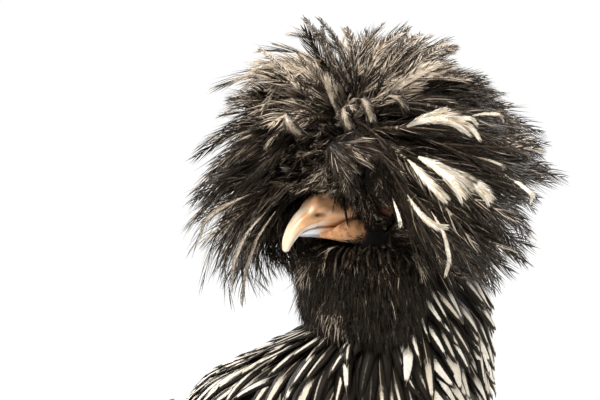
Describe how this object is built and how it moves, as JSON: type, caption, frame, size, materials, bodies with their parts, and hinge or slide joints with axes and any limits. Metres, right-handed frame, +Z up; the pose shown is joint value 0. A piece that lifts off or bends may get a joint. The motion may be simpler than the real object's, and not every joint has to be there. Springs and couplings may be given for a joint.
{
  "type": "polish crested hen",
  "caption": "Standing life-size hen with a large feather crest, full beard, folded wings and laced plumage, her head turned to her right.",
  "frame": {"origin": "on the floor, under the middle of the object's box", "axes": "+Z up; the hen's body faces -Y and her left side is +X"},
  "size_m": [0.1612, 0.3482, 0.3792],
  "materials": {
    "black_plumage": "soft feather",
    "laced_plumage": "white feathers laced with black",
    "face_skin": "bare red skin",
    "pale_horn": "pale horn",
    "slate_scales": "slate blue scales",
    "ear_lobe": "bare white skin",
    "eye": "wet reddish bay"
  },
  "bodies": {
    "root": {"beak_lower": "pale_horn", "beak_upper": "pale_horn", "beard": "black_plumage", "claw_left_hind": "pale_horn", "claw_left_inner": "pale_horn", "claw_left_middle": "pale_horn", "claw_left_outer": "pale_horn", "claw_right_hind": "pale_horn", "claw_right_inner": "pale_horn", "claw_right_middle": "pale_horn", "claw_right_outer": "pale_horn", "comb": "face_skin", "crest": "black_plumage", "ear_left": "ear_lobe", "ear_right": "ear_lobe", "eye_left": "eye", "eye_right": "eye", "foot_left": "slate_scales", "foot_right": "slate_scales", "head": "face_skin", "neck": "laced_plumage", "shank_left": "slate_scales", "shank_right": "slate_scales", "tail": "laced_plumage", "thigh_left": "laced_plumage", "thigh_right": "laced_plumage", "toe_left_hind": "slate_scales", "toe_left_inner": "slate_scales", "toe_left_middle": "slate_scales", "toe_left_outer": "slate_scales", "toe_right_hind": "slate_scales", "toe_right_inner": "slate_scales", "toe_right_middle": "slate_scales", "toe_right_outer": "slate_scales", "torso": "laced_plumage", "wing_left": "laced_plumage", "wing_right": "laced_plumage"}
  },
  "joints": []
}
